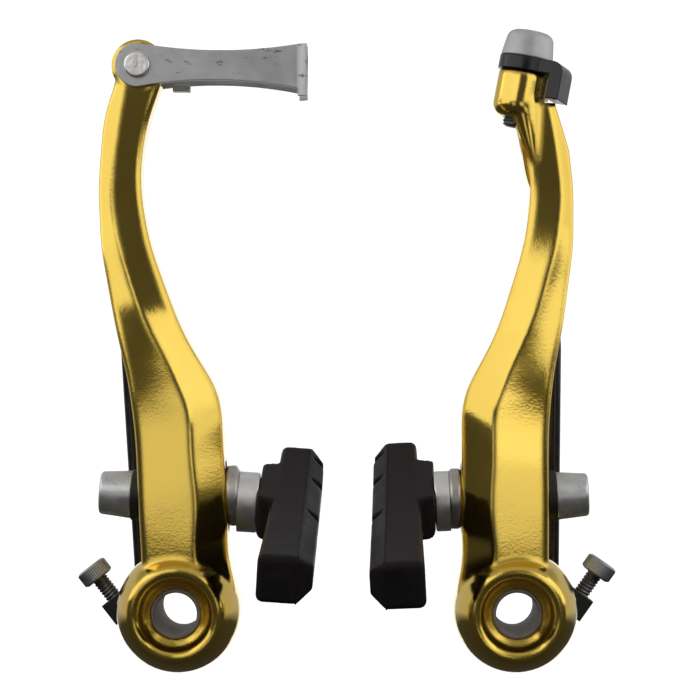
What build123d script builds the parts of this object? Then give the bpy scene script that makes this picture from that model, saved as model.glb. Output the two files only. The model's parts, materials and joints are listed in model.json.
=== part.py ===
from build123d import *
from math import cos, radians, sin, sqrt
import os

os.makedirs("parts", exist_ok=True)

# Millimetres. Each side is drawn once in its own frame: the pivot is the y axis, x goes towards the rim,
# y from the front (negative) to the frame's seat at 0, and z up the arm. The right side is the mirror image.

# The pair
pivot_spacing = 66.5  # between the two pivots
left_lean = 2.7  # outward lean of the left side at rest, degrees
right_lean = -0.3  # outward lean of the right side at rest, degrees

# Arm
arm_length = 107.5  # pivot to link rivet, measured up
arm_back = -6.0  # back of the boss and of the lower arm
top_offset = -2.75  # link rivet, measured from the pivot towards the rim
top_front = -15.6  # front and back of the arm's top
top_back = -7.5
head_radius = 5.2
head_inset = 0.3  # the round top is this much thinner than the arm at each face
wall_inner = 10.6  # the two upright walls that the pad clamps between
wall_outer = -6.3
face_front = -20.5  # front of the ridge beside the pad
corner_radius = 0.9
ridge_radius = 0.5

# Pivot boss of the arm
boss_radius = 12.2
boss_crest = -23.0
boss_flare = -13.5  # where the rounded nose starts
nose_radius = 11.1  # the nose halfway, and how deep that lies
nose_depth = -18.9
crest_radius = 9.0
mouth_radius = 7.6
ledge_radius = 6.0
lip_round = 1.1
ledge_depth = -20.2
bush_outer = 5.0
bush_bore = 4.1
bush_front = -19.9
running_gap = 0.05  # radial clearance of everything that turns

# Pad clamp
post_height = 22.0
post_depth = -10.8
post_radius = 3.0
slot_width = 7.2
slot_length = 14.0
seat_margin = 0.5  # of the flat seats round the washers
washer_radius = 6.0
outer_washer_radius = 5.0
dome_hole = 4.3
inner_dome_rim = 2.1
outer_dome_rim = 0.4
dome_round = 0.7
left_cup_back = 14.6  # from the clamp's centre along the post
right_cup_back = 13.6
outer_cup_back = 10.4
nut_length = 6.4
nut_base_radius = 4.75
nut_end_radius = 4.2
socket_size = 5.0  # across flats
socket_depth = 3.0
left_droop = 6.5  # how far the post tips down towards the rim, degrees
right_droop = 2.4
left_twist = 15.3  # near end of the pad turned down about the post, degrees
right_twist = 17.3
left_toe = 0.6  # near end of the pad closer to the rim, degrees
right_toe = 1.4

# Brake pad
pad_depth = 12.3  # friction face, from the back of the cup washer
pad_thickness = 10.3  # at the near end
pad_far_thickness = 8.9
pad_height = 9.2
pad_far = 21.5  # length behind and in front of the post
pad_near = 45.5
pad_arc = 500.0  # radius of the curve along the pad
pad_chamfer_depth = 2.9
pad_chamfer_height = 2.3
pad_chamfer_length = 3.0  # at the ends
pad_edge = 1.2  # rounding of the ends and of the back
groove_width = 2.4
groove_depth = 2.8
groove_places = (17.0, 5.0, -14.0)
plate_thickness = 2.0
plate_length = 26.0
plate_height = 5.6
plate_cover = 1.4  # rubber behind the plate
plate_corner = 1.0
hump_far = 12.0  # raised back of the pad round the post
hump_near = 9.0
hump_step = 1.0
hump_height = 8.8
hump_edge = 1.4

# Spring carrier, spring and screw
carrier_front = -5.6
carrier_back = -0.4
carrier_radius = 10.5
wire_radius = 1.2
wire_depth = -3.0
anchor_pin_radius = 1.25
anchor_shank_radius = 1.6
anchor_pin_height = 7.8
anchor_pin_reach = 4.0
anchor_pin_hold = 3.0
catch_radius = 1.0
catch_x = -9.0
catch_height = 65.5
catch_hold = 3.0  # how deep it sits in the arm
seat_gap = 0.1  # between pieces that rest on each other
tail_x = -9.0  # the wire's corners, from its tail up
tail_z = -4.6
wire_x = -8.1
wire_low = 6.0
wire_slope = 0.75
wire_bend = 54.0
wire_turn = 6.0
wire_over = 2.0  # past the catch pin, and how far in the tip lies there
wire_lead = 0.5
screw_x = -17.4  # centre of the screw's head
screw_z = 7.4
screw_angle = 54.7  # below level, degrees
screw_depth = -2.8
screw_head_radius = 3.25
screw_head_length = 3.2
screw_shank_radius = 1.65
screw_length = 9.3
screw_socket = 3.0
lug_outer = 2.7  # half width of the lug away from the pivot, and its width towards it
lug_inner = 5.0
lug_start = 6.2  # from the screw's head centre along the screw
lug_end = 11.0

# Noodle link
sheet = 1.4
link_gap = 0.3  # between a cheek and the arm's top
link_length = 33.2
link_end_radius = 4.3
link_waist = 2.9
link_flare = 4.5
link_lip = 1.4
link_fold = 2.4
link_sag = 2.9  # tilt of the link at rest from square to the arm, degrees
rivet_radius = 2.0
rivet_head_radius = 2.5
rivet_head = 0.8
head_gap = 0.1  # between a head and the cheek
noodle_radius = 3.2
noodle_slot = 2.4
tab_start = 6.3
tab_width = 3.4
tab_drop = 0.0
tab_reach = 3.0

# Cable anchor
anchor_x = -2.35  # middle of the boss's top
anchor_z = 106.3
anchor_proud = 0.6  # in front of the arm's middle
anchor_tilt = 11.0  # outward, degrees
anchor_radius = 5.0
anchor_height = 9.5
anchor_round = 3.0  # of its lower edge, and then of the upper
anchor_brow = 1.0
anchor_flat = 5.3  # from the bolt to the flat beside the plate's tab
anchor_flat_height = 5.0
anchor_width = 4.0
beak_start = 3.2  # below the boss's top
beak_waist = 9.5  # its middle, below the boss's top, with its radius and its shift out and to the front
beak_waist_radius = 3.2
beak_waist_out = 2.2
beak_waist_front = 1.3
beak_x = -4.0
beak_z = 88.5
beak_radius = 0.5
cable_radius = 0.9
cable_place = 4.0  # from the bolt back to the cable's groove
cable_back = 5.7  # from the bolt to the back of the ledge that the groove runs in
cable_ledge = 5.0
shoulder = 99.9  # the right arm's cut top, and its slope down to the outer edge
shoulder_x = -8.2
slope_x = -11.2
slope_z = 90.0
neck_low = 79.0  # web of the right arm under the boss
neck_proud = 0.9
neck_depth = 5.4
bolt_radius = 2.5
bolt_below = 1.6
bolt_head_radius = 5.15
bolt_top_radius = 4.4
bolt_head = 5.4
bolt_crown = 1.9
clamp_thickness = 2.6
clamp_radius = 5.3
clamp_turn = 19.0  # of the plate about the bolt, degrees
clamp_tab_inner = 6.2
clamp_tab_width = 7.6
clamp_tab_drop = 4.8
clamp_bend = 2.2

# Points up the arm: height, outer edge, ridge, inner edge, then the depth of the ridge, how far the outer
# and inner edges lie behind it, and the depth of the back. The upper ones count down from the rivet.
lower_arm = (
    (1.0, wall_outer, 4.8, wall_inner + 0.3, face_front, 0.8, 4.7, arm_back),
    (9.0, wall_outer, 4.8, wall_inner + 0.1, face_front, 0.8, 4.7, arm_back),
    (17.0, wall_outer, 4.8, wall_inner, face_front, 0.8, 4.7, arm_back),
    (27.0, wall_outer, 4.8, wall_inner, face_front, 0.8, 4.7, arm_back),
    (35.0, wall_outer - 0.1, 4.6, wall_inner - 0.1, face_front + 0.2, 0.9, 4.5, arm_back),
    (40.5, wall_outer - 0.5, 4.0, wall_inner - 0.4, face_front + 0.5, 1.0, 4.1, arm_back),
    (45.6, wall_outer - 1.1, 2.1, wall_inner - 2.1, face_front + 0.9, 1.1, 3.5, arm_back),
)
upper_arm = (
    (56.0, -8.5, -0.7, 5.3, -19.0, 1.2, 2.7, -6.1),
    (50.1, -9.6, -3.5, 2.7, -18.3, 1.3, 2.1, -6.3),
    (44.1, -10.5, -5.6, 0.7, -17.6, 1.4, 1.5, -6.6),
    (38.1, -11.35, -7.4, -1.15, -17.0, 1.45, 1.1, -6.9),
    (32.1, -11.75, -8.8, -2.5, -16.4, 1.5, 0.8, -7.2),
    (26.2, -11.8, -9.4, -3.2, -16.0, 1.45, 0.6, -7.4),
    (20.3, -11.4, -9.0, -3.15, -15.8, 1.4, 0.5, top_back),
    (14.4, -10.7, -8.2, -2.2, -15.7, 1.4, 0.5, top_back),
    (9.0, -9.7, -7.2, -0.6, top_front, 1.4, 0.5, top_back),
    (5.5, -8.5, -6.4, 0.8, top_front, 1.4, 0.5, top_back),
    (2.0, top_offset - head_radius + 0.5, -6.0, top_offset + head_radius - 0.5, top_front, 1.4, 0.5, top_back),
)
stations = [row for row in lower_arm]
stations += [(arm_length - row[0],) + row[1:] for row in upper_arm]


def placed(shape, side):
    """A piece of one side, moved from its own frame to its place in the pair."""
    if side == "left":
        return Pos(-pivot_spacing / 2, 0, 0) * Rot(0, -left_lean, 0) * shape
    return Pos(pivot_spacing / 2, 0, 0) * Rot(0, right_lean, 0) * mirror(shape, about=Plane.YZ)


def save(shape, name):
    shape.label = name
    export_step(shape, f"parts/{name}.step")


# Arm without its top
with BuildPart() as arm_body:
    for height, outer, ridge, inner, front, outer_drop, inner_drop, back in stations:
        with BuildSketch(Plane.XY.offset(height)) as section:
            with BuildLine():
                Polyline(
                    (outer, back),
                    (outer, front + outer_drop),
                    (ridge, front),
                    (inner, front + inner_drop),
                    (inner, back),
                    close=True,
                )
            make_face()
            fillet(section.vertices().sort_by_distance((ridge, front))[1:], corner_radius)
            fillet(section.vertices().sort_by_distance((ridge, front))[0], ridge_radius)
    loft()
    with BuildSketch(Plane.XZ.offset(-arm_back)):
        Circle((mouth_radius + crest_radius) / 2)
    extrude(amount=-boss_crest + arm_back, mode=Mode.SUBTRACT)
    with BuildSketch(Plane.XY) as boss_half:
        with BuildLine():
            ThreePointArc((crest_radius, boss_crest), (nose_radius, nose_depth), (boss_radius, boss_flare))
            Polyline(
                (boss_radius, boss_flare),
                (boss_radius, arm_back),
                (bush_outer + running_gap, arm_back),
                (bush_outer + running_gap, ledge_depth),
                (ledge_radius, ledge_depth),
                (mouth_radius, boss_crest),
                (crest_radius, boss_crest),
            )
        make_face()
        fillet(boss_half.vertices().sort_by_distance((mouth_radius, boss_crest))[0], lip_round)
        fillet(boss_half.vertices().sort_by_distance((crest_radius, boss_crest))[0], lip_round)
        fillet(boss_half.vertices().sort_by_distance((boss_radius, arm_back))[0], 0.8)
    revolve(axis=Axis.Y)
    with BuildSketch(Plane.YZ):
        with Locations((post_depth, post_height)):
            SlotOverall(slot_length, slot_width, rotation=90)
    extrude(amount=2 * boss_radius, both=True, mode=Mode.SUBTRACT)
    with BuildSketch(Plane.YZ.offset(wall_inner)):
        with Locations((post_depth, post_height)):
            Circle(washer_radius + seat_margin)
    extrude(amount=boss_radius, mode=Mode.SUBTRACT)
    with BuildSketch(Plane.YZ.offset(wall_outer)):
        with Locations((post_depth, post_height)):
            Circle(outer_washer_radius + seat_margin)
    extrude(amount=-boss_radius, mode=Mode.SUBTRACT)
    with BuildSketch(Plane.XZ.offset(-arm_back)):
        with Locations((catch_x, catch_height)):
            Circle(catch_radius)
    extrude(amount=catch_hold, mode=Mode.SUBTRACT)

# Left arm: round top with the hole for the link's rivet
top_middle = (top_front + top_back) / 2
with BuildPart() as left_arm:
    add(arm_body.part)
    with BuildSketch(Plane.XZ.offset(-top_back + head_inset)):
        with Locations((top_offset, arm_length)):
            Circle(head_radius)
    extrude(amount=top_back - top_front - 2 * head_inset)
    with BuildSketch(Plane.XZ.offset(-arm_back)):
        with Locations((top_offset, arm_length)):
            Circle(rivet_radius)
    extrude(amount=-boss_crest + arm_back, mode=Mode.SUBTRACT)
save(placed(left_arm.part, "left"), "left_arm")

# Right arm: shoulder, leaning boss for the cable bolt, and the beak that carries the boss.
# In the anchor's plane x points away from the rim, y to the front and z up the bolt.
tilt = radians(anchor_tilt)
anchor_plane = Plane(
    origin=(anchor_x, top_middle - anchor_proud, anchor_z),
    x_dir=(-cos(tilt), 0, -sin(tilt)),
    z_dir=(-sin(tilt), 0, cos(tilt)),
)
turn = radians(clamp_turn)
clamp_plane = Plane(
    origin=anchor_plane.origin,
    x_dir=anchor_plane.x_dir * cos(turn) + anchor_plane.y_dir * sin(turn),
    z_dir=anchor_plane.z_dir,
)
with BuildPart() as anchor_boss:
    with BuildSketch(anchor_plane):
        Circle(anchor_radius)
    extrude(amount=-anchor_height)
    fillet(anchor_boss.edges().sort_by(Axis.Z)[0], anchor_round)
    fillet(anchor_boss.edges().sort_by(Axis.Z)[-1], anchor_brow)
neck_rows = [row for row in stations if neck_low < row[0] < shoulder]
with BuildPart() as right_arm:
    add(arm_body.part)
    with BuildSketch(Plane.XZ):
        with BuildLine():
            Polyline(
                (slope_x, slope_z),
                (shoulder_x, shoulder),
                (boss_radius, shoulder),
                (boss_radius, arm_length + boss_radius),
                (-2 * boss_radius, arm_length + boss_radius),
                (-2 * boss_radius, slope_z),
                close=True,
            )
        make_face()
    extrude(amount=-2 * boss_crest, mode=Mode.SUBTRACT)
    with BuildSketch(Plane.XZ.offset(-top_middle - neck_depth / 2)):
        with BuildLine():
            edge = [(row[3] + neck_proud, row[0]) for row in neck_rows]
            edge[0] = (neck_rows[0][3] - neck_proud, neck_rows[0][0])
            Spline(*edge)
            Polyline(edge[-1], (neck_rows[-1][2], edge[-1][1]), (neck_rows[0][2], edge[0][1]), edge[0])
        make_face()
    extrude(amount=neck_depth)
    add(anchor_boss.part)
    with BuildSketch(clamp_plane):
        with Locations((anchor_flat / 2, 0)):
            Rectangle(anchor_flat, anchor_width)
    extrude(amount=-anchor_flat_height)
    with BuildSketch(anchor_plane):
        with Locations((0, -cable_back / 2)):
            Rectangle(2 * anchor_radius - 0.8, cable_back)
    extrude(amount=-cable_ledge)
    with BuildSketch(anchor_plane.offset(-beak_start)):
        Circle(anchor_radius - 0.1)
    with BuildSketch(anchor_plane.offset(-beak_waist)):
        with Locations((beak_waist_out, beak_waist_front)):
            Circle(beak_waist_radius)
    with BuildSketch(Plane(origin=(beak_x, top_front + beak_radius / 2, beak_z), z_dir=anchor_plane.z_dir)):
        Circle(beak_radius)
    loft()
    with BuildSketch(anchor_plane):
        Circle(bolt_radius + running_gap)
    extrude(amount=-2 * anchor_height, mode=Mode.SUBTRACT)
    with BuildSketch(Plane(origin=anchor_plane.origin, x_dir=anchor_plane.y_dir, z_dir=anchor_plane.x_dir)):
        with Locations((-cable_place, -cable_radius)):
            Circle(cable_radius)
        with Locations((-cable_place, 0)):
            Rectangle(2 * cable_radius, 2 * cable_radius)
    extrude(amount=2 * anchor_radius, both=True, mode=Mode.SUBTRACT)
save(placed(right_arm.part, "right"), "right_arm")

# Cable clamp plate with the tab that stops it turning
with BuildPart() as clamp_plate:
    with BuildSketch(clamp_plane):
        Circle(clamp_radius)
        with Locations((clamp_tab_inner / 2, 0)):
            Rectangle(clamp_tab_inner, clamp_tab_width)
    extrude(amount=clamp_thickness)
    with BuildSketch(Plane(origin=clamp_plane.origin, x_dir=clamp_plane.x_dir, z_dir=-clamp_plane.y_dir)) as tab:
        with BuildLine():
            Polyline(
                (clamp_tab_inner - 1, clamp_thickness),
                (clamp_tab_inner + clamp_thickness, clamp_thickness),
                (clamp_tab_inner + clamp_thickness, -clamp_tab_drop),
                (clamp_tab_inner, -clamp_tab_drop),
                (clamp_tab_inner, 0),
                (clamp_tab_inner - 1, 0),
                close=True,
            )
        make_face()
        fillet(tab.vertices().sort_by_distance((clamp_tab_inner + clamp_thickness, clamp_thickness))[0], clamp_bend)
    extrude(amount=clamp_tab_width / 2, both=True)
    with BuildSketch(clamp_plane):
        Circle(bolt_radius + running_gap)
    extrude(amount=clamp_thickness, mode=Mode.SUBTRACT)
save(placed(clamp_plate.part, "right"), "cable_clamp_plate")

# Cable bolt: tapered domed head with a hexagon socket
bolt_seat = clamp_thickness + head_gap
with BuildPart() as cable_bolt:
    with BuildSketch(Plane(origin=anchor_plane.origin, x_dir=anchor_plane.x_dir, z_dir=-anchor_plane.y_dir)) as bolt_half:
        with BuildLine():
            Polyline(
                (0, -anchor_height - bolt_below),
                (bolt_radius - 0.5, -anchor_height - bolt_below),
                (bolt_radius, -anchor_height - bolt_below + 0.5),
                (bolt_radius, bolt_seat),
                (bolt_head_radius, bolt_seat),
                (bolt_head_radius, bolt_seat + 0.8),
                (bolt_top_radius, bolt_seat + bolt_head),
                (0, bolt_seat + bolt_head),
                close=True,
            )
        make_face()
        fillet(bolt_half.vertices().sort_by_distance((bolt_top_radius, bolt_seat + bolt_head))[0], bolt_crown)
        fillet(bolt_half.vertices().sort_by_distance((bolt_head_radius, bolt_seat + 0.8))[0], 0.6)
    revolve(axis=Axis(anchor_plane.origin, anchor_plane.z_dir))
    with BuildSketch(anchor_plane.offset(bolt_seat + bolt_head)):
        RegularPolygon(socket_size / 2, 6, major_radius=False)
    extrude(amount=-socket_depth, mode=Mode.SUBTRACT)
save(placed(cable_bolt.part, "right"), "cable_bolt")

# Noodle link: two cheeks folded from a web with a keyhole. In its plane x runs along the link and z is up.
sag = radians(link_sag)
link_start = (top_offset, 0, arm_length)
link_x = (cos(sag), 0, -sin(sag))
link_plane = Plane(origin=link_start, x_dir=link_x, z_dir=(sin(sag), 0, cos(sag)))
link_side = Plane(origin=link_start, x_dir=link_x, z_dir=(0, -1, 0))
cheek_front = top_front - link_gap - sheet
cheek_back = top_back + link_gap + sheet
link_depth = cheek_back - cheek_front
with BuildPart() as noodle_link:
    with BuildSketch(link_plane) as fold:
        with Locations((0, top_middle)):
            Rectangle(2 * link_length, link_depth)
        fillet(fold.vertices().group_by(Axis(link_start, link_x))[-1], link_fold)
    extrude(amount=3 * link_end_radius, both=True)
    with BuildSketch(link_plane) as hollow:
        with Locations((0, top_middle)):
            Rectangle(2 * (link_length - sheet), link_depth - 2 * sheet)
        fillet(hollow.vertices().group_by(Axis(link_start, link_x))[-1], link_fold - sheet)
    extrude(amount=3 * link_end_radius, both=True, mode=Mode.SUBTRACT)
    with BuildSketch(link_side) as cheek:
        with BuildLine():
            ThreePointArc((0, -link_end_radius), (-link_end_radius, 0), (0, link_end_radius))
            ThreePointArc((0, link_end_radius), (link_length / 2, link_waist), (link_length, link_flare))
            Polyline(
                (link_length, link_flare),
                (link_length, -link_flare - link_lip),
                (link_length - sheet - 0.3, -link_flare - link_lip),
                (link_length - sheet - 0.3, -link_flare),
            )
            ThreePointArc(
                (link_length - sheet - 0.3, -link_flare), (link_length / 2, -link_waist), (0, -link_end_radius)
            )
        make_face()
        fillet(cheek.vertices().sort_by_distance((link_length - sheet - 0.3, -link_flare))[0], link_lip / 2)
    extrude(amount=4 * link_depth, both=True, mode=Mode.INTERSECT)
    with BuildSketch(link_side):
        Circle(rivet_radius + running_gap)
    extrude(amount=4 * link_depth, both=True, mode=Mode.SUBTRACT)
    with BuildSketch(Plane(origin=link_start, x_dir=(0, 1, 0), z_dir=link_x).offset(link_length)):
        with Locations((top_middle, 0)):
            Circle(noodle_radius)
        with Locations((top_middle, link_end_radius)):
            Rectangle(noodle_slot, 2 * link_end_radius)
    extrude(amount=-2 * sheet, mode=Mode.SUBTRACT)
    with BuildSketch(Plane(origin=link_start, x_dir=(0, 1, 0), z_dir=link_x).offset(tab_start)):
        with BuildLine():
            Polyline(
                (cheek_back, -link_waist / 2),
                (cheek_back, -link_end_radius - tab_drop),
                (cheek_back - tab_reach, -link_end_radius - tab_drop),
                (cheek_back - tab_reach, -link_end_radius - tab_drop + sheet),
                (cheek_back - sheet, -link_end_radius - tab_drop + sheet),
                (cheek_back - sheet, -link_waist / 2),
                close=True,
            )
        make_face()
    extrude(amount=tab_width)
save(placed(noodle_link.part, "left"), "noodle_link")

# Link rivet with a head over each cheek
with BuildPart() as link_rivet:
    with BuildSketch(Plane.XZ.offset(-cheek_back - head_gap)):
        with Locations((top_offset, arm_length)):
            Circle(rivet_radius)
    extrude(amount=link_depth + 2 * head_gap)
    with BuildSketch(Plane.XZ.offset(-cheek_front + head_gap)):
        with Locations((top_offset, arm_length)):
            Circle(rivet_head_radius)
    extrude(amount=rivet_head)
    with BuildSketch(Plane.XZ.offset(-cheek_back - head_gap)):
        with Locations((top_offset, arm_length)):
            Circle(rivet_head_radius)
    extrude(amount=-rivet_head)
    fillet(link_rivet.edges().group_by(Axis.Y)[0], 0.35)
    fillet(link_rivet.edges().group_by(Axis.Y)[-1], 0.35)
save(placed(link_rivet.part, "left"), "link_rivet")

# Pivot bushing
with BuildPart() as bushing:
    with BuildSketch(Plane.XZ):
        Circle(bush_outer)
        Circle(bush_bore, mode=Mode.SUBTRACT)
    extrude(amount=-bush_front)
    chamfer(bushing.edges().group_by(Axis.Y)[0], 0.3)

# Return spring: up the outside of the arm, then in behind it to the catch pin
with BuildPart() as spring:
    with BuildLine() as wire:
        FilletPolyline(
            (tail_x, wire_depth, tail_z),
            (wire_x, wire_depth, wire_low),
            (wire_x - wire_slope, wire_depth, wire_bend),
            (catch_x + catch_radius + wire_radius + wire_lead, wire_depth, catch_height + wire_over),
            radius=wire_turn,
        )
    with BuildSketch(Plane(origin=wire.line @ 0, z_dir=wire.line % 0)):
        Circle(wire_radius)
    sweep(path=wire.line)

# Spring carrier with the lug for the screw, and the channel for the spring's tail
along = Vector(cos(radians(screw_angle)), 0, -sin(radians(screw_angle)))
across = Vector(sin(radians(screw_angle)), 0, cos(radians(screw_angle)))
screw_middle = Vector(screw_x, screw_depth, screw_z)
lug_middle = screw_middle + along * ((lug_start + lug_end) / 2) + across * ((lug_inner - lug_outer) / 2)
screw_plane = Plane(origin=screw_middle, x_dir=along, z_dir=(0, -1, 0))
with BuildPart() as carrier:
    with BuildSketch(Plane.XZ.offset(-carrier_back)):
        Circle(carrier_radius)
        with Locations((lug_middle.X, lug_middle.Z)):
            Rectangle(lug_end - lug_start, lug_outer + lug_inner, rotation=-screw_angle)
        Circle(bush_outer + running_gap, mode=Mode.SUBTRACT)
    extrude(amount=carrier_back - carrier_front)
    with BuildSketch(Plane.XZ.offset(-carrier_back)):
        with Locations((0, anchor_pin_height)):
            Circle(anchor_shank_radius)
    extrude(amount=anchor_pin_hold, mode=Mode.SUBTRACT)
    with BuildSketch(Plane.XZ.offset(-wire_depth - wire_radius - seat_gap)):
        with BuildLine():
            FilletPolyline(
                (tail_x, tail_z - 0.5),
                (wire_x, wire_low),
                (wire_x - wire_slope, wire_bend),
                radius=wire_turn,
            )
        trace(line_width=2 * wire_radius + 2 * seat_gap)
    extrude(amount=-carrier_front, mode=Mode.SUBTRACT)
    with BuildSketch(Plane(origin=screw_middle, z_dir=along)):
        Circle(screw_shank_radius + running_gap)
    extrude(amount=screw_head_length / 2 + screw_length + seat_gap, mode=Mode.SUBTRACT)

# Pin of the carrier for the frame's spring hole, and the arm's pin for the spring
with BuildPart() as anchor_pin:
    with BuildSketch(Plane.XZ.offset(-carrier_back)):
        with Locations((0, anchor_pin_height)):
            Circle(anchor_shank_radius)
    extrude(amount=anchor_pin_hold)
    with BuildSketch(Plane.XZ.offset(-carrier_back)):
        with Locations((0, anchor_pin_height)):
            Circle(anchor_pin_radius)
    extrude(amount=-anchor_pin_reach + carrier_back)
    chamfer(anchor_pin.edges().group_by(Axis.Y)[-1], 0.3)
with BuildPart() as catch_pin:
    with BuildSketch(Plane.XZ.offset(-arm_back + catch_hold)):
        with Locations((catch_x, catch_height)):
            Circle(catch_radius)
    extrude(amount=-catch_hold + arm_back - wire_depth - wire_radius)
    chamfer(catch_pin.edges().group_by(Axis.Y)[-1], 0.2)

# Tension screw
with BuildPart() as screw:
    with BuildSketch(screw_plane) as screw_half:
        with BuildLine():
            Polyline(
                (-screw_head_length / 2, 0),
                (-screw_head_length / 2, screw_head_radius),
                (screw_head_length / 2, screw_head_radius),
                (screw_head_length / 2, screw_shank_radius),
                (screw_head_length / 2 + screw_length, screw_shank_radius),
                (screw_head_length / 2 + screw_length, 0),
                close=True,
            )
        make_face()
        fillet(screw_half.vertices().sort_by_distance((-screw_head_length / 2, screw_head_radius))[0], 0.3)
    revolve(axis=Axis(screw_middle, along))
    with BuildSketch(Plane(origin=screw_middle - along * (screw_head_length / 2), z_dir=along)):
        RegularPolygon(screw_socket / 2, 6, major_radius=False)
    extrude(amount=screw_head_length / 2, mode=Mode.SUBTRACT)

# Dome washers, which stay square to the arm. Their spheres share the clamp's centre.
clamp_centre = Vector((wall_inner + wall_outer) / 2, post_depth, post_height)
wall = (wall_inner - wall_outer) / 2
inner_sphere = sqrt((wall + inner_dome_rim) ** 2 + washer_radius**2)
outer_sphere = sqrt((wall + outer_dome_rim) ** 2 + outer_washer_radius**2)


def on_sphere(sphere, radius):
    return (sqrt(sphere**2 - radius**2), radius)


with BuildPart() as inner_dome:
    with BuildSketch(Plane(origin=clamp_centre, x_dir=(1, 0, 0), z_dir=(0, -1, 0))) as dome_half:
        with BuildLine():
            Polyline(
                on_sphere(inner_sphere, dome_hole), (wall, dome_hole), (wall, washer_radius),
                on_sphere(inner_sphere, washer_radius),
            )
            ThreePointArc(
                on_sphere(inner_sphere, washer_radius),
                on_sphere(inner_sphere, (washer_radius + dome_hole) / 2),
                on_sphere(inner_sphere, dome_hole),
            )
        make_face()
        fillet(dome_half.vertices().sort_by_distance((wall, washer_radius))[0], dome_round)
        fillet(dome_half.vertices().sort_by_distance(on_sphere(inner_sphere, washer_radius))[0], dome_round)
    revolve(axis=Axis(clamp_centre, (1, 0, 0)))
with BuildPart() as outer_dome:
    with BuildSketch(Plane(origin=clamp_centre, x_dir=(-1, 0, 0), z_dir=(0, -1, 0))):
        with BuildLine():
            Polyline(
                on_sphere(outer_sphere, dome_hole), (wall, dome_hole), (wall, outer_washer_radius),
                on_sphere(outer_sphere, outer_washer_radius),
            )
            ThreePointArc(
                on_sphere(outer_sphere, outer_washer_radius),
                on_sphere(outer_sphere, (outer_washer_radius + dome_hole) / 2),
                on_sphere(outer_sphere, dome_hole),
            )
        make_face()
    revolve(axis=Axis(clamp_centre, (1, 0, 0)))

for side in ("left", "right"):
    save(placed(bushing.part, side), side + "_bushing")
    save(placed(spring.part, side), side + "_return_spring")
    save(placed(carrier.part, side), side + "_spring_carrier")
    save(placed(anchor_pin.part, side), side + "_anchor_pin")
    save(placed(catch_pin.part, side), side + "_catch_pin")
    save(placed(screw.part, side), side + "_tension_screw")
    save(placed(inner_dome.part, side), side + "_inner_dome_washer")
    save(placed(outer_dome.part, side), side + "_outer_dome_washer")


def thickness_at(along_pad):
    """Thickness of the pad at a place along it, where it tapers from the near to the far end."""
    share = (along_pad + pad_near) / (pad_far + pad_near)
    return pad_thickness + share * (pad_far_thickness - pad_thickness)


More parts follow.
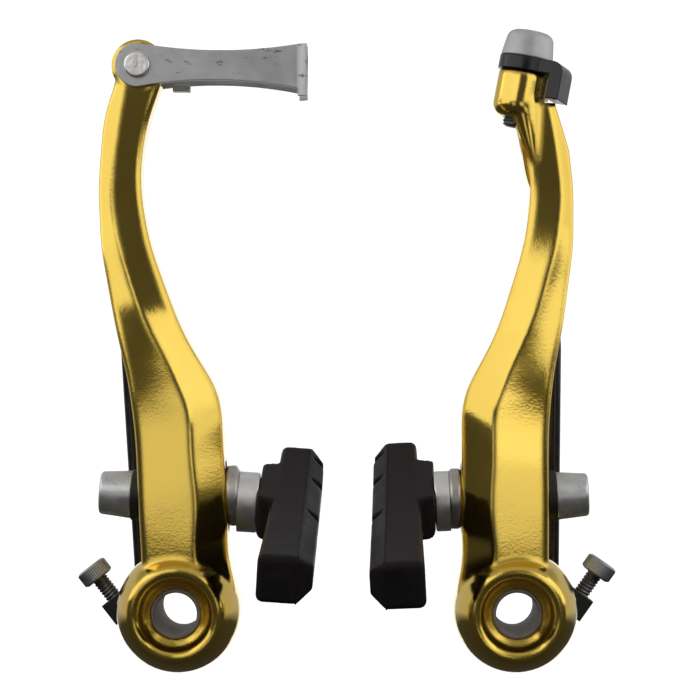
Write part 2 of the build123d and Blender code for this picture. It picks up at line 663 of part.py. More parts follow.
# Cup washers, nut, post and pad, which tip together on the domes
inner_cup_sphere = inner_sphere + running_gap
outer_cup_sphere = outer_sphere + running_gap
hole = post_radius + running_gap / 2
post_end = outer_cup_back + nut_length - socket_depth - 0.8
for side, droop, twist, toe, cup_back in (
    ("left", radians(left_droop), radians(left_twist), radians(left_toe), left_cup_back),
    ("right", radians(right_droop), radians(right_twist), radians(right_toe), right_cup_back),
):
    post_x = Vector(cos(droop) * cos(toe), sin(toe), -sin(droop) * cos(toe))
    level = Vector(0, 0, 1).cross(post_x).normalized()
    pad_up = post_x.cross(level) * cos(twist) - level * sin(twist)
    pad_plane = Plane(origin=clamp_centre, x_dir=post_x, z_dir=pad_up)
    post_plane = Plane(origin=clamp_centre, x_dir=pad_plane.y_dir, z_dir=post_x)
    half_plane = Plane(origin=clamp_centre, x_dir=post_x, z_dir=-level)
    post_axis = Axis(clamp_centre, post_x)

    with BuildPart() as inner_cup:
        with BuildSketch(half_plane) as cup_half:
            with BuildLine():
                Polyline(
                    on_sphere(inner_cup_sphere, hole), (cup_back, hole), (cup_back, washer_radius),
                    on_sphere(inner_cup_sphere, washer_radius),
                )
                ThreePointArc(
                    on_sphere(inner_cup_sphere, washer_radius),
                    on_sphere(inner_cup_sphere, (washer_radius + hole) / 2),
                    on_sphere(inner_cup_sphere, hole),
                )
            make_face()
            fillet(cup_half.vertices().sort_by_distance((cup_back, washer_radius))[0], 0.4)
        revolve(axis=post_axis)
    save(placed(inner_cup.part, side), side + "_inner_cup_washer")

    with BuildPart() as outer_cup:
        with BuildSketch(Plane(origin=clamp_centre, x_dir=-post_x, z_dir=-level)):
            with BuildLine():
                Polyline(
                    on_sphere(outer_cup_sphere, hole),
                    (outer_cup_back, hole),
                    (outer_cup_back, outer_washer_radius),
                    on_sphere(outer_cup_sphere, outer_washer_radius),
                )
                ThreePointArc(
                    on_sphere(outer_cup_sphere, outer_washer_radius),
                    on_sphere(outer_cup_sphere, (outer_washer_radius + hole) / 2),
                    on_sphere(outer_cup_sphere, hole),
                )
            make_face()
        revolve(axis=post_axis)
    save(placed(outer_cup.part, side), side + "_outer_cup_washer")

    with BuildPart() as nut:
        with BuildSketch(Plane(origin=clamp_centre, x_dir=-post_x, z_dir=-level)) as nut_half:
            with BuildLine():
                Polyline(
                    (outer_cup_back, hole),
                    (outer_cup_back, nut_base_radius),
                    (outer_cup_back + nut_length, nut_end_radius),
                    (outer_cup_back + nut_length, 0),
                    (post_end + 0.1, 0),
                    (post_end + 0.1, hole),
                    close=True,
                )
            make_face()
            fillet(nut_half.vertices().sort_by_distance((outer_cup_back + nut_length, nut_end_radius))[0], 0.7)
            fillet(nut_half.vertices().sort_by_distance((outer_cup_back, nut_base_radius))[0], 0.3)
        revolve(axis=post_axis)
        with BuildSketch(post_plane.offset(-outer_cup_back - nut_length)):
            RegularPolygon(socket_size / 2, 6, major_radius=False)
        extrude(amount=socket_depth, mode=Mode.SUBTRACT)
    save(placed(nut.part, side), side + "_pad_nut")

    pad_front = cup_back + pad_depth
    plate_at = pad_front - thickness_at(0) + plate_cover
    with BuildPart() as post:
        with BuildSketch(post_plane.offset(-post_end)):
            Circle(post_radius)
        extrude(amount=post_end + plate_at)
        with BuildSketch(post_plane.offset(plate_at)):
            RectangleRounded(plate_length, plate_height, plate_corner)
        extrude(amount=plate_thickness)
    save(placed(post.part, side), side + "_pad_post")

    pad_mid = (pad_far - pad_near) / 2
    sink = pad_arc - sqrt(pad_arc**2 - pad_mid**2)
    pad_middle = clamp_centre + pad_plane.y_dir * pad_mid - pad_up * sink
    hump_length = hump_far + hump_near + 2 * hump_step
    hump_end = clamp_centre + pad_plane.y_dir * (hump_far + hump_step)
    inside = pad_front - pad_thickness / 2
    chamfer_foot = pad_front - pad_chamfer_depth
    with BuildPart() as hump:
        with BuildSketch(Plane(origin=hump_end, x_dir=post_x, z_dir=-pad_plane.y_dir)) as hump_section:
            with Locations(((cup_back + inside) / 2, 0)):
                Rectangle(inside - cup_back, hump_height)
            fillet(hump_section.vertices().group_by(Axis(hump_end, post_x))[0], hump_edge)
        extrude(amount=hump_length)
        with BuildSketch(pad_plane) as hump_plan:
            with BuildLine():
                Polyline(
                    (inside, hump_far + hump_step),
                    (pad_front - thickness_at(hump_far), hump_far + hump_step),
                    (cup_back, hump_far),
                    (cup_back, -hump_near),
                    (pad_front - thickness_at(-hump_near), -hump_near - hump_step),
                    (inside, -hump_near - hump_step),
                    close=True,
                )
            make_face()
            fillet(hump_plan.vertices().group_by(Axis(clamp_centre, post_x))[0], hump_edge)
        extrude(amount=pad_height, both=True, mode=Mode.INTERSECT)
    with BuildPart() as pad:
        with BuildSketch(Plane(origin=pad_middle, x_dir=post_x, z_dir=-pad_plane.y_dir)):
            with BuildLine():
                Polyline(
                    (0, -pad_height / 2),
                    (chamfer_foot, -pad_height / 2),
                    (pad_front, -pad_height / 2 + pad_chamfer_height),
                    (pad_front, pad_height / 2 - pad_chamfer_height),
                    (chamfer_foot, pad_height / 2),
                    (0, pad_height / 2),
                    close=True,
                )
            make_face()
        revolve(axis=Axis(pad_middle + pad_up * pad_arc, post_x))
        with BuildSketch(pad_plane) as plan:
            with BuildLine():
                Polyline(
                    (chamfer_foot, -pad_near),
                    (pad_front, -pad_near + pad_chamfer_length),
                    (pad_front, pad_far - pad_chamfer_length),
                    (chamfer_foot, pad_far),
                    (pad_front - pad_far_thickness, pad_far),
                    (pad_front - pad_thickness, -pad_near),
                    close=True,
                )
            make_face()
        extrude(amount=2 * pad_height, both=True, mode=Mode.INTERSECT)
        behind = [edge for edge in pad.edges() if (edge.center() - clamp_centre).dot(post_x) < chamfer_foot - 0.3]
        fillet(behind, pad_edge)
        add(hump.part)
        for at in groove_places:
            with BuildSketch(pad_plane):
                with BuildLine():
                    Polyline(
                        (pad_front, at - groove_width / 2),
                        (pad_front, at + groove_width / 2),
                        (pad_front - groove_depth, at),
                        close=True,
                    )
                make_face()
        extrude(amount=pad_height, both=True, mode=Mode.SUBTRACT)
        add(post.part, mode=Mode.SUBTRACT)
    save(placed(pad.part, side), side + "_brake_pad")
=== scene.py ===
import json
from math import cos, pi, radians, sin, sqrt, tau

import bpy
from mathutils import Matrix, Vector


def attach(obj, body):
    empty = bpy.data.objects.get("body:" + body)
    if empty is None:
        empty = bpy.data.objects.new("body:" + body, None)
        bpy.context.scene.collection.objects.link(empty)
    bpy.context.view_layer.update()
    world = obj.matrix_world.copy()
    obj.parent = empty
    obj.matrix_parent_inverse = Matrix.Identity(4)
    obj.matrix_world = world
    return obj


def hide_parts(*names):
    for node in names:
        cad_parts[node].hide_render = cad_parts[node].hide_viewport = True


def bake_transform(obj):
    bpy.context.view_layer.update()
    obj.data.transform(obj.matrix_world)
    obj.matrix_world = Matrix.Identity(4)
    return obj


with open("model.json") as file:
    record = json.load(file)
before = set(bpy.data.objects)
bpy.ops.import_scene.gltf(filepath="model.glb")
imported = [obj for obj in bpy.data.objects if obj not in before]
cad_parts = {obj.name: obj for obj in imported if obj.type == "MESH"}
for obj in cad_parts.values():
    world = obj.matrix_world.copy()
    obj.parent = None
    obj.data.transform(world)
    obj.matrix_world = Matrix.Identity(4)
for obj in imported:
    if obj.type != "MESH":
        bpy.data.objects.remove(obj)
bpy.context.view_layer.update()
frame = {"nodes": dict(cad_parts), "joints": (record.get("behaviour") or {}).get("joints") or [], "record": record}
nodes = frame["nodes"]
joints = {joint["name"]: joint for joint in frame["joints"]}
scene = bpy.context.scene
scene.view_settings.view_transform = "Standard"

MM = 0.001
SIDES = ("left", "right")

# Camera; the photograph is 700 pixels wide and high
IMAGE_PX = 700
FOCAL_PX = 2477
PRINCIPAL_PX = 385  # column of the picture that the camera's axis meets
CAMERA_AT = (7.5 * MM, -502 * MM, 51.4 * MM)
SENSOR_MM = 36
CLIP_START = 10 * MM

# Finishes and meshes
NOISE_LOW = 0.3  # a noise mostly stays between these two
NOISE_HIGH = 0.7
NOISE_DETAIL = 4.0
MARK_DETAIL = 6.0
MARK_FADE = 0.03  # how softly a mark ends, in the noise's own values
EDGE_SAMPLES = 8
SHARP_ANGLE = radians(40)

# Turned pieces
HEAD_SHARE = 0.95  # share of the widest radius from which a turned piece counts as head
SOCKET_MIDDLE = 0.05 * MM  # radius of the cap in the middle of a socket's floor
THREAD_START = 0.1 * MM  # from under the head
THREAD_STEPS = 6  # rows of points to a pitch

# Tension screws
SCREW_SOCKET = 3.0 * MM
SCREW_PITCH = 0.7 * MM
SCREW_THREAD = 0.3 * MM
SCREW_RIM = 0.3 * MM  # bevel at both ends of the knurls
KNURLS = 44
KNURL_DEPTH = 0.16 * MM
KNURL_COLUMNS = 4  # columns of points to a knurl

# Cable bolt
BOLT_SOCKET = 5.0 * MM
BOLT_SOCKET_DEPTH = 3.0 * MM
BOLT_SOCKET_TOP = 0.01 * MM
BOLT_PITCH = 0.8 * MM
BOLT_THREAD = 0.4 * MM
BOLT_COLUMNS = 72
CROWN_RADIUS = 1.9 * MM  # rounding of the head's top
CROWN_CENTRE = 2.785 * MM  # of that rounding, from the axis
CROWN_START = 5  # degrees that it starts from and swings over
CROWN_SWING = 75
CROWN_STEPS = 8
COLLAR = 0.8 * MM  # height of the head's collar, which swells and ends in a bevel
COLLAR_SWELL = 0.03 * MM
COLLAR_BEVEL = 0.15 * MM

# Each side's own frame: x towards the rim, y to the back and z up the arm, in mm
LEAN = {"left": -2.7, "right": -0.3}  # turn of the side about y, degrees

# Return springs, in the side's own frame
WIRE_DEPTH = -3.0
WIRE = [(-9.0, -4.6), (-8.1, 6.0), (-8.85, 54.0), (-6.3, 67.5)]  # corners of the wire, x and z
WIRE_RADIUS = 1.2
WIRE_TURN = 3.0  # length to either side of a corner that its rounding takes
WIRE_STEP = 2.0  # divides the straight runs, so that they can bend
WIRE_SIDES = 16

# Brake pads and the moulding seam round each friction block, in the side's own frame
CLAMP_CENTRE = (2.15, -10.8, 22.0)
PAD_DROOP = {"left": 6.5, "right": 2.4}  # degrees
PAD_TWIST = {"left": 15.3, "right": 17.3}
PAD_TOE = {"left": 0.6, "right": 1.4}
CUP_BACK = {"left": 14.6, "right": 13.6}  # back of the cup washer, along the post
PAD_DEPTH = 12.3  # friction face, from the back of the cup washer
PAD_CHAMFER = 2.9
PAD_ARC = 500.0  # radius of the curve along the pad
PAD_CELL = 0.32  # cells of the evened mesh, and the factor and rounds of its smoothing
PAD_EASE = 0.5
PAD_ROUNDS = 14
SEAM_NEAR = 45.25  # ends of the seam, from the post
SEAM_FAR = 21.1
SEAM_HALF = 4.5
SEAM_RADIUS = 0.22
SEAM_CORNER = 1.6
SEAM_SPANS = 12  # spans of each long side, and steps of each rounding
SEAM_STEPS = 4
SEAM_SIDES = 8

# Softboxes on a circle round the object: azimuths in degrees, heights in mm, and a level with 1 for white
LAMP_CIRCLE = 400
LAMPS = {
    "left_side": dict(azimuths=(-38, -108), heights=(66, 390), level=1.02),
    "left_front": dict(azimuths=(-9, -38), heights=(128, 345), level=1.08),
    "right_side": dict(azimuths=(60, 110), heights=(44, 345), level=0.9),
    "right_front": dict(azimuths=(23, 60), heights=(94, 345), level=1.08),
    "left_strip": dict(azimuths=(-14, -26), heights=(-16, 75), level=0.77),
    "right_strip": dict(azimuths=(9, 22), heights=(28, 76), level=1.2),
    "right_strip_foot": dict(azimuths=(9, 22), heights=(-17, 28), level=0.88),
}

# Backdrop card
BACKDROP_AT = 1500 * MM
BACKDROP_HALF = 500 * MM
PAPER_GREY = 0.9
PAPER_ROUGHNESS = 0.9

# World: levels along a component of the direction, which runs from 0 at -1 to 1 at 1
SKY = [(0.0, 0.03), (0.42, 0.05), (0.52, 0.07), (0.74, 0.08), (0.84, 0.42)]  # by height
BAND = [(0.4, 0.0), (0.46, 0.42), (0.7, 0.42), (0.8, 0.0)]  # by height, added behind the object
BEHIND = [(0.5, 0.0), (0.6, 1.0)]  # by depth


# Camera

camera = bpy.data.objects.new("camera", bpy.data.cameras.new("camera"))
camera.location = CAMERA_AT
camera.rotation_euler = (pi / 2, 0, 0)
camera.data.sensor_width = SENSOR_MM
camera.data.lens = FOCAL_PX / IMAGE_PX * SENSOR_MM
camera.data.shift_x = (IMAGE_PX / 2 - PRINCIPAL_PX) / IMAGE_PX
camera.data.clip_start = CLIP_START
scene.collection.objects.link(camera)
scene.camera = camera


# Materials

def material(name):
    """A new node material and its Principled shader."""
    made = bpy.data.materials.new(name)
    made.use_nodes = True
    return made, made.node_tree.nodes["Principled BSDF"]


def add_node(made, kind, **values):
    """A node of that kind with these properties."""
    node = made.node_tree.nodes.new(kind)
    for key, value in values.items():
        setattr(node, key, value)
    return node


def join(made, source, target):
    """Link two sockets."""
    made.node_tree.links.new(source, target)


def noise(made, per_metre, detail=NOISE_DETAIL, scale=(1, 1, 1), turn=0.0):
    """A 0 to 1 noise in the piece's own coordinates, stretched and turned about y."""
    here = add_node(made, "ShaderNodeTexCoord")
    mapping = add_node(made, "ShaderNodeMapping")
    mapping.inputs["Scale"].default_value = scale
    mapping.inputs["Rotation"].default_value = (0, turn, 0)
    texture = add_node(made, "ShaderNodeTexNoise")
    texture.inputs["Scale"].default_value = per_metre
    texture.inputs["Detail"].default_value = detail
    join(made, here.outputs["Object"], mapping.inputs["Vector"])
    join(made, mapping.outputs["Vector"], texture.inputs["Vector"])
    return texture.outputs["Fac"]


def ramp(made, source, stops):
    """Colours along a 0 to 1 value; each stop is (position, (r, g, b))."""
    node = add_node(made, "ShaderNodeValToRGB")
    while len(node.color_ramp.elements) < len(stops):
        node.color_ramp.elements.new(0.5)  # the next lines give it its own position
    for element, (position, colour) in zip(node.color_ramp.elements, stops):
        element.position = position
        element.color = (*colour, 1)
    join(made, source, node.inputs["Fac"])
    return node.outputs["Color"]


def combine(made, operation, first, second):
    """Two colours multiplied or added."""
    node = add_node(made, "ShaderNodeVectorMath", operation=operation)
    join(made, first, node.inputs[0])
    join(made, second, node.inputs[1])
    return node.outputs["Vector"]


def spread(made, source, low, high):
    """A noise spread between two numbers."""
    node = add_node(made, "ShaderNodeMapRange")
    node.inputs["From Min"].default_value = NOISE_LOW
    node.inputs["From Max"].default_value = NOISE_HIGH
    node.inputs["To Min"].default_value = low
    node.inputs["To Max"].default_value = high
    join(made, source, node.inputs["Value"])
    return node.outputs["Result"]


def relief(made, shader, bumps, edge):
    """Bumps, each (noise per metre, height in mm), over edges that are rounded by edge in mm."""
    rounded = add_node(made, "ShaderNodeBevel", samples=EDGE_SAMPLES)
    rounded.inputs["Radius"].default_value = edge * MM
    normal = rounded.outputs["Normal"]
    for per_metre, height in bumps:
        bump = add_node(made, "ShaderNodeBump")
        bump.inputs["Strength"].default_value = 1.0
        bump.inputs["Distance"].default_value = height * MM
        join(made, noise(made, per_metre), bump.inputs["Height"])
        join(made, normal, bump.inputs["Normal"])
        normal = bump.outputs["Normal"]
    join(made, normal, shader.inputs["Normal"])


def marked(made, colour, per_metre, below, factor, stretch=1.0, turn=0.0):
    """A colour with scratches or stains, darker by that factor where a noise lies below a value."""
    lines = noise(made, per_metre, MARK_DETAIL, (1, 1, stretch), turn)
    shade = ramp(made, lines, [(below - MARK_FADE, (factor,) * 3), (below + MARK_FADE, (1, 1, 1))])
    return combine(made, "MULTIPLY", colour, shade)


def finish(name, colours, roughness, grain, bumps, edge=0.2, metallic=1.0, marks=None, **inputs):
    """A finish whose colour and roughness run between two values along a noise of grain per metre.

    bumps and edge are as in relief, marks as in marked, and inputs are the shader's other inputs.
    """
    made, shader = material(name)
    shader.inputs["Metallic"].default_value = metallic
    for key, value in inputs.items():
        shader.inputs[key.replace("_", " ")].default_value = value
    cloud = noise(made, grain)
    colour = ramp(made, cloud, [(NOISE_LOW, colours[0]), (NOISE_HIGH, colours[1])])
    if marks:
        colour = marked(made, colour, **marks)
    join(made, colour, shader.inputs["Base Color"])
    join(made, spread(made, cloud, *roughness), shader.inputs["Roughness"])
    relief(made, shader, bumps, edge)
    return made


def grey(low, high, warm=0.0):
    """Two greys, warmer by that share of red over blue."""
    return [(level * (1 + warm), level, level * (1 - warm)) for level in (low, high)]


FINISHES = {
    "gold_alloy": dict(
        colours=[(0.84, 0.58, 0.105), (0.89, 0.635, 0.125)], roughness=(0.08, 0.13), grain=60,
        bumps=[(260, 0.006), (2000, 0.008)], edge=1.8, Coat_Weight=0.15, Coat_Roughness=0.1,
    ),
    "grey_sheet": dict(
        colours=grey(0.56, 0.70), roughness=(0.4, 0.55), grain=260, bumps=[(1300, 0.012)], edge=0.3,
        marks=dict(per_metre=420, below=0.33, factor=0.4, stretch=2.5, turn=1.2),
    ),
    "rivet_peened": dict(
        colours=grey(0.8, 0.94, warm=0.04), roughness=(0.26, 0.4), grain=350, bumps=[(260, 0.24)], edge=0.5,
    ),
    "silver_bolt": dict(
        colours=grey(0.56, 0.7), roughness=(0.48, 0.62), grain=500, bumps=[(900, 0.03)],
        edge=0.4, metallic=0.7,
    ),
    # The bushing's steel is darkened to a warm grey-brown: painted shade inside the arm's bore
    "bushing_steel": dict(
        colours=grey(0.22, 0.34, warm=0.16), roughness=(0.6, 0.75), grain=400, bumps=[(900, 0.01)],
        metallic=0.3,
    ),
    "pin_steel": dict(colours=grey(0.45, 0.55), roughness=(0.3, 0.4), grain=400, bumps=[(900, 0.006)]),
    "nut_grey": dict(
        colours=grey(0.62, 0.78), roughness=(0.3, 0.44), grain=300, bumps=[(1300, 0.015)],
        edge=0.3, metallic=0.8, marks=dict(per_metre=900, below=0.34, factor=0.7),
    ),
    "screw_steel": dict(
        colours=grey(0.44, 0.58, warm=-0.03), roughness=(0.35, 0.5), grain=500, bumps=[(1500, 0.01)],
    ),
    "thread_steel": dict(colours=grey(0.16, 0.26), roughness=(0.35, 0.5), grain=500, bumps=[(1500, 0.01)]),
    "washer_steel": dict(
        colours=grey(0.84, 0.94, warm=0.02), roughness=(0.3, 0.42), grain=400, bumps=[(900, 0.008)],
    ),
    # A darker copy of the washer steel for the inner dome washers: the darkening is painted shade
    "dome_steel_painted_shade": dict(
        colours=grey(0.46, 0.58, warm=0.05), roughness=(0.3, 0.42), grain=400, bumps=[(900, 0.008)],
    ),
    "post_steel": dict(colours=grey(0.45, 0.55), roughness=(0.3, 0.42), grain=400, bumps=[(900, 0.006)]),
    "black_plate": dict(
        colours=grey(0.010, 0.018), roughness=(0.2, 0.34), grain=300, bumps=[(250, 0.05), (1200, 0.01)],
        edge=0.4, metallic=0.0,
    ),
    "black_washer": dict(
        colours=grey(0.012, 0.022), roughness=(0.45, 0.55), grain=300, bumps=[(900, 0.01)], metallic=0.0,
    ),
    "carrier_plastic": dict(
        colours=grey(0.010, 0.018), roughness=(0.35, 0.5), grain=300, bumps=[(900, 0.012)],
        edge=0.3, metallic=0.0,
    ),
    "spring_black": dict(
        colours=grey(0.010, 0.018), roughness=(0.2, 0.3), grain=300, bumps=[(900, 0.01)], metallic=0.0,
    ),
    "pad_rubber": dict(
        colours=[(0.017, 0.0148, 0.0146), (0.026, 0.0228, 0.0224)], roughness=(0.32, 0.45), grain=250,
        bumps=[(1300, 0.012), (200, 0.03)], edge=0.6, metallic=0.0, Specular_IOR_Level=0.03,
    ),
}
finishes = {name: finish(name, **look) for name, look in FINISHES.items()}

for part in frame["record"]["subparts"]:
    painted = nodes[part["node"]]
    painted.data.materials.clear()
    painted.data.materials.append(finishes[part["material_slot"]])
nodes["link_rivet"].data.materials[0] = finishes["rivet_peened"]
# The inner dome washers take the darker copy of the washer steel, whose darkening is painted shade
for side in SIDES:
    nodes[side + "_inner_dome_washer"].data.materials[0] = finishes["dome_steel_painted_shade"]


# Meshes of the pieces that are made here

def piece(name, points, faces, slot):
    """A mesh of these points and faces in that slot's finish."""
    mesh = bpy.data.meshes.new(name)
    mesh.from_pydata(points, [], faces)
    mesh.validate()
    mesh.shade_smooth()
    mesh.set_sharp_from_angle(angle=SHARP_ANGLE)
    mesh.materials.append(finishes[slot])
    made = bpy.data.objects.new(name, mesh)
    scene.collection.objects.link(made)
    return made


def across(direction):
    """Two unit vectors square to a direction and to each other, in right-handed order."""
    side = direction.orthogonal().normalized()
    return side, direction.cross(side).normalized()


def grid_faces(rows, columns, closed):
    """Faces of a tube of rows of points.

    closed joins the last row to the first, or else the ends are capped.
    """
    faces = []
    for row in range(rows if closed else rows - 1):
        here = row * columns
        after = (row + 1) % rows * columns
        for column in range(columns):
            beside = (column + 1) % columns
            faces.append((here + column, here + beside, after + beside, after + column))
    if not closed:
        faces.append(tuple(range(columns))[::-1])
        faces.append(tuple(range((rows - 1) * columns, rows * columns)))
    return faces


def turned(name, start, direction, profile, slot, columns, plain_rows):
    """A turned piece whose rows after the plain ones are its thread.

    profile is rows of (distance, radius) along the axis, and a radius may be a function of the angle.
    """
    side, up = across(direction)
    points = []
    for distance, radius in profile:
        for column in range(columns):
            angle = column / columns * tau
            reach = radius(angle) if callable(radius) else radius
            points.append(start + direction * distance + (side * cos(angle) + up * sin(angle)) * reach)
    made = piece(name, points, grid_faces(len(profile), columns, False), slot)
    made.data.materials.append(finishes["thread_steel"])
    for face in made.data.polygons:
        if face.index // columns >= plain_rows:
            face.material_index = 1
    return made


def tube(name, path, radius, slot, sides, closed=False):
    """A round wire along a path of points."""
    count = len(path)
    angles = [column / sides * tau for column in range(sides)]
    points = []
    side = None
    for k, point in enumerate(path):
        after = path[(k + 1) % count] if closed or k < count - 1 else path[k]
        before = path[k - 1] if closed or k else path[k]
        direction = (after - before).normalized()
        if side is None:
            side = across(direction)[0]
        else:
            side = (side - direction * side.dot(direction)).normalized()
        up = direction.cross(side)
        points += [point + (side * cos(angle) + up * sin(angle)) * radius for angle in angles]
    return piece(name, points, grid_faces(count, sides, closed), slot)


def eased(corners, radius, closed=False, steps=8):
    """A path through the corners, each of them rounded over that length to either side."""
    path = []
    count = len(corners)
    for k, corner in enumerate(corners):
        if not closed and k in (0, count - 1):
            path.append(corner)
            continue
        start = corner + (corners[k - 1] - corner).normalized() * radius
        end = corner + (corners[(k + 1) % count] - corner).normalized() * radius
        for step in range(steps + 1):
            t = step / steps
            path.append(start * (1 - t) ** 2 + corner * 2 * t * (1 - t) + end * t**2)
    return path


def divided(path, step):
    """A path with its longer runs divided into lengths of a step or a little more."""
    fine = []
    for first, second in zip(path, path[1:]):
        count = max(1, int((second - first).length / step))
        fine += [first.lerp(second, k / count) for k in range(count)]
    return fine + [path[-1]]


def hexagon(flats):
    """Radius of a hexagon of that width across flats, by angle."""
    return lambda angle: flats / 2 / cos(angle % (pi / 3) - pi / 6)


def knurl(radius, teeth, depth):
    """Radius of a knurled rim, by angle."""
    return lambda angle: radius - depth * abs(sin(angle * teeth / 2))


def thread(radius, depth, turns):
    """Radius of a thread by angle, that many turns along it."""
    return lambda angle: radius - depth * 2 * abs((turns - angle / tau) % 1 - 0.5)


def threaded(start, end, radius, pitch, depth):
    """Profile rows of a thread from start to end, with a bevelled tip."""
    count = int((end - start - depth) / pitch * THREAD_STEPS)
    rows = []
    for k in range(count + 1):
        at = start + (end - start - depth) * k / count
        rows.append((at, thread(radius, depth, at / pitch)))
    return rows + [(end, radius - 2 * depth)]


def lie_of(node, joint):
    """Of a turned CAD node on that joint: its head's end, the direction from head to tip, and its outline.

    The outline is the head's radius and length, the shank's radius and the whole length.
    """
    origin = Vector(joints[joint]["pos_m"])
    direction = Vector(joints[joint]["axis"]).normalized()
    outline = []
    for vertex in nodes[node].data.vertices:
        distance = (vertex.co - origin).dot(direction)
        outline.append((distance, (vertex.co - origin - direction * distance).length))
    low = min(distance for distance, _ in outline)
    high = max(distance for distance, _ in outline)
    widest = max(radius for _, radius in outline)
    head = [distance for distance, radius in outline if radius > HEAD_SHARE * widest]
    if sum(head) / len(head) > (low + high) / 2:
        direction = -direction
        outline = [(-distance, radius) for distance, radius in outline]
        low, high = -high, -low
    head_end = max(distance for distance, radius in outline if radius > HEAD_SHARE * widest)
    shank = max(radius for distance, radius in outline if distance > (head_end + high) / 2)
    return origin + direction * low, direction, (widest, head_end - low, shank, high - low)


# Tension screws, with knurls, socket and thread

def tension_screw(side):
    """One side's screw in place of its plainer CAD node."""
    name = side + "_tension_screw"
    start, direction, (radius, head, shank, length) = lie_of(name, side + "_screw_turn")
    socket = hexagon(SCREW_SOCKET)
    knurled = knurl(radius, KNURLS, KNURL_DEPTH)
    bevel_top = radius - 2 * SCREW_RIM
    bevel_foot = radius - SCREW_RIM / 3
    plain = [
        (head / 2, SOCKET_MIDDLE), (head / 2, socket), (0, socket),
        (0, bevel_top), (SCREW_RIM, bevel_foot), (SCREW_RIM * 1.5, knurled),
        (head - SCREW_RIM * 1.5, knurled), (head - SCREW_RIM, bevel_foot), (head, bevel_top),
        (head, shank - SCREW_THREAD),
    ]
    profile = plain + threaded(head + THREAD_START, length, shank, SCREW_PITCH, SCREW_THREAD)
    columns = KNURL_COLUMNS * KNURLS
    screw = turned(name + "_turned", start, direction, profile, "screw_steel", columns, len(plain) - 1)
    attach(screw, name)
    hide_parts(name)


for side in SIDES:
    tension_screw(side)


# Cable bolt, with socket and thread

def cable_bolt():
    """The bolt in place of its plainer CAD node."""
    start, direction, (radius, head, shank, length) = lie_of("cable_bolt", "cable_bolt_turn")
    socket = hexagon(BOLT_SOCKET)
    plain = [(BOLT_SOCKET_DEPTH, SOCKET_MIDDLE), (BOLT_SOCKET_DEPTH, socket), (BOLT_SOCKET_TOP, socket)]
    for k in range(CROWN_STEPS + 1):
        swing = radians(CROWN_START + CROWN_SWING * k / CROWN_STEPS)
        plain.append((CROWN_RADIUS * (1 - cos(swing)), CROWN_CENTRE + CROWN_RADIUS * sin(swing)))
    plain += [
        (head - 2 * COLLAR, radius - COLLAR_BEVEL), (head - COLLAR, radius - COLLAR_SWELL),
        (head - COLLAR / 2, radius), (head - COLLAR_BEVEL, radius), (head, radius - COLLAR_BEVEL),
        (head, shank),
    ]
    profile = plain + threaded(head + THREAD_START, length, shank, BOLT_PITCH, BOLT_THREAD)
    bolt = turned("cable_bolt_turned", start, direction, profile, "silver_bolt", BOLT_COLUMNS, len(plain) - 1)
    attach(bolt, "cable_bolt")
    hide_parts("cable_bolt")


cable_bolt()


# Return springs, which bend between the frame's side and the arm

def side_frame(side):
    """The matrix from a side's own frame to the scene."""
    pivot = Matrix.Translation((joints[side + "_arm_pivot"]["pos_m"][0], 0, 0))
    flip = MM if side == "left" else -MM
    return pivot @ Matrix.Rotation(radians(LEAN[side]), 4, "Y") @ Matrix.Diagonal((flip, MM, MM, 1))


def on_wire(x, z):
    """A point in the plane of the wire."""
    return Vector((x, WIRE_DEPTH, z))


def return_spring(side):
    """One side's wire in place of its CAD node."""
    place = side_frame(side)
    route = divided(eased([on_wire(x, z) for x, z in WIRE], WIRE_TURN), WIRE_STEP)
    path = [place @ point for point in route]
    wire = tube(side + "_return_spring_wire", path, WIRE_RADIUS * MM, "spring_black", WIRE_SIDES)
    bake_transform(wire)
    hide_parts(side + "_return_spring")


for side in SIDES:
    return_spring(side)


# Moulding seam round each pad's friction block, along the foot of its chamfer

def pad_seam(side):
    """One pad's seam, which rides on the pad."""
    droop = radians(PAD_DROOP[side])
    twist = radians(PAD_TWIST[side])
    toe = radians(PAD_TOE[side])
    post = Vector((cos(droop) * cos(toe), sin(toe), -sin(droop) * cos(toe)))
    level = Vector((0, 0, 1)).cross(post).normalized()
    up = post.cross(level) * cos(twist) - level * sin(twist)
    along = up.cross(post)
    middle = (SEAM_FAR - SEAM_NEAR) / 2
    half = (SEAM_FAR + SEAM_NEAR) / 2
    sink = PAD_ARC - sqrt(PAD_ARC**2 - middle**2)
    chamfer_foot = CUP_BACK[side] + PAD_DEPTH - PAD_CHAMFER
    centre = Vector(CLAMP_CENTRE) + post * chamfer_foot + along * middle - up * sink

    def on_pad(distance, height):
        """A point at a distance along the pad from the seam's middle, and at a height."""
        swing = distance / PAD_ARC
        reach = PAD_ARC - height
        return centre + up * (PAD_ARC - reach * cos(swing)) + along * reach * sin(swing)

    stops = [2 * half * k / SEAM_SPANS - half for k in range(SEAM_SPANS + 1)]
    upper = [on_pad(-stop, SEAM_HALF) for stop in stops]
    lower = [on_pad(stop, -SEAM_HALF) for stop in stops]
    place = side_frame(side)
    route = eased(upper + lower, SEAM_CORNER, closed=True, steps=SEAM_STEPS)
    path = [place @ point for point in route]
    seam = tube(side + "_pad_seam", path, SEAM_RADIUS * MM, "pad_rubber", SEAM_SIDES, closed=True)
    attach(seam, side + "_pad")


for side in SIDES:
    pad_seam(side)


# Edges of the moulded rubber

def soften(node):
    """Even out a CAD node's faces into small cells, and ease its edges by rounds of smoothing."""
    even = nodes[node].modifiers.new("even", "REMESH")
    even.mode = "VOXEL"
    even.voxel_size = PAD_CELL * MM
    even.use_smooth_shade = True
    ease = nodes[node].modifiers.new("ease", "SMOOTH")
    ease.factor = PAD_EASE
    ease.iterations = PAD_ROUNDS


for side in SIDES:
    soften(side + "_brake_pad")


# Softboxes

def around(azimuth):
    """The plan point on the lamps' circle, at azimuth 0 towards the camera and at 90 to its right."""
    return Vector((LAMP_CIRCLE * sin(radians(azimuth)), -LAMP_CIRCLE * cos(radians(azimuth)), 0)) * MM


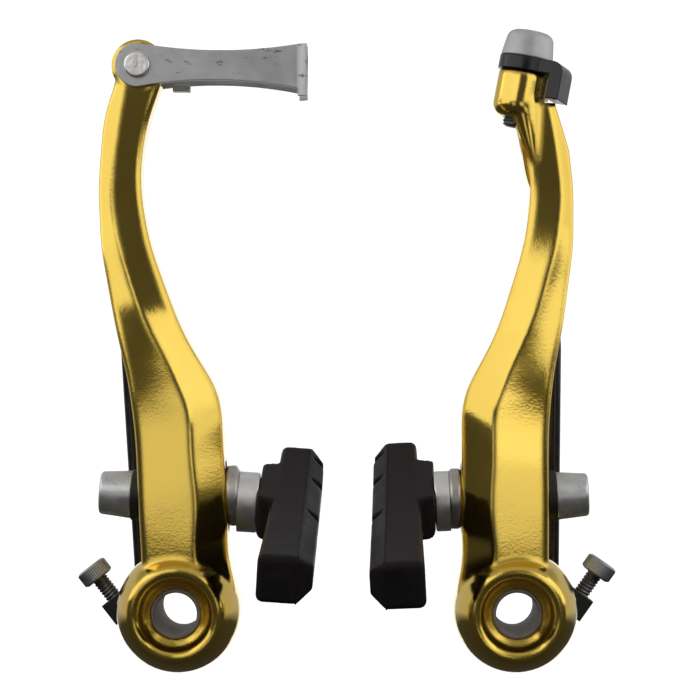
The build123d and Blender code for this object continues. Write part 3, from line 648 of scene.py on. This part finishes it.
def softbox(name, azimuths, heights, level):
    """An upright area lamp between two azimuths and two heights, facing the object."""
    near, far = (around(azimuth) for azimuth in azimuths)
    low, high = heights
    lamp = bpy.data.lights.new(name, "AREA")
    lamp.shape = "RECTANGLE"
    lamp.size = (far - near).length
    lamp.size_y = (high - low) * MM
    lamp.energy = level * pi * lamp.size * lamp.size_y
    made = bpy.data.objects.new(name, lamp)
    made.location = (near + far) / 2 + Vector((0, 0, (low + high) / 2 * MM))
    outward = (far - near).cross(Vector((0, 0, 1))).normalized()
    if outward.dot(made.location) < 0:
        outward = -outward
    made.rotation_euler = outward.to_track_quat("Z", "Y").to_euler()
    scene.collection.objects.link(made)


for name, lamp in LAMPS.items():
    softbox(name, **lamp)


# Backdrop

def backdrop_card():
    """A white card behind the object."""
    card = bpy.data.meshes.new("backdrop")
    corners = [(-1, -1), (1, -1), (1, 1), (-1, 1)]
    points = [(x * BACKDROP_HALF, BACKDROP_AT, z * BACKDROP_HALF) for x, z in corners]
    card.from_pydata(points, [], [(0, 1, 2, 3)])
    backdrop = bpy.data.objects.new("backdrop", card)
    scene.collection.objects.link(backdrop)
    paper, shader = material("backdrop_paper")
    shader.inputs["Base Color"].default_value = (PAPER_GREY, PAPER_GREY, PAPER_GREY, 1)
    shader.inputs["Roughness"].default_value = PAPER_ROUGHNESS
    shader.inputs["Emission Color"].default_value = (1, 1, 1, 1)
    shader.inputs["Emission Strength"].default_value = 1.0
    card.materials.append(paper)


backdrop_card()


# World

world = bpy.data.worlds.new("studio")
scene.world = world
world.use_nodes = True
here = add_node(world, "ShaderNodeTexCoord")
apart = add_node(world, "ShaderNodeSeparateXYZ")
join(world, here.outputs["Generated"], apart.inputs["Vector"])


def levels(component, stops):
    """Greys along a component of the direction; each stop is (position, level)."""
    node = add_node(world, "ShaderNodeMapRange")
    node.inputs["From Min"].default_value = -1
    node.inputs["From Max"].default_value = 1
    join(world, apart.outputs[component], node.inputs["Value"])
    return ramp(world, node.outputs["Result"], [(position, (level,) * 3) for position, level in stops])


band_behind = combine(world, "MULTIPLY", levels("Z", BAND), levels("Y", BEHIND))
glow = combine(world, "ADD", levels("Z", SKY), band_behind)
join(world, glow, world.node_tree.nodes["Background"].inputs["Color"])
